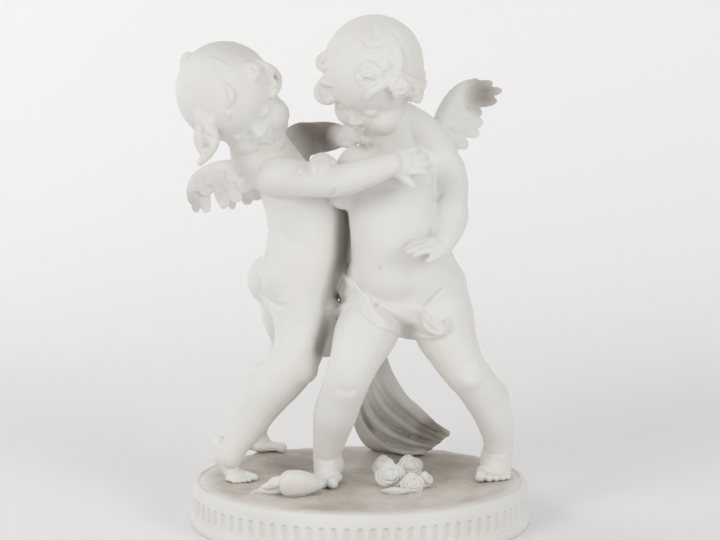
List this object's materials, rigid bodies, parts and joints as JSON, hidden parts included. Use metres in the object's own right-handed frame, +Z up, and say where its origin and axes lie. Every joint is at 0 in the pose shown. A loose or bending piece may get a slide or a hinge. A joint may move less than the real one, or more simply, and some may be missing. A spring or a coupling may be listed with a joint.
{
  "type": "bisque figure group",
  "caption": "Unglazed porcelain group of two winged cupids wrestling over a burning heart beside roses, on an oval fluted plinth.",
  "frame": {"origin": "middle of the oval plinth's flat underside", "axes": "+Z up through the figures, -Y towards the viewer of the pictured front, +X to that viewer's right along the oval's long axis"},
  "size_m": [0.2059, 0.1708, 0.297],
  "materials": {
    "bisque": "matte unglazed porcelain",
    "stained_bisque": "matte unglazed porcelain with taupe stain on the ground"
  },
  "bodies": {
    "root": {"plinth": "stained_bisque", "cupids": "bisque"}
  },
  "joints": []
}
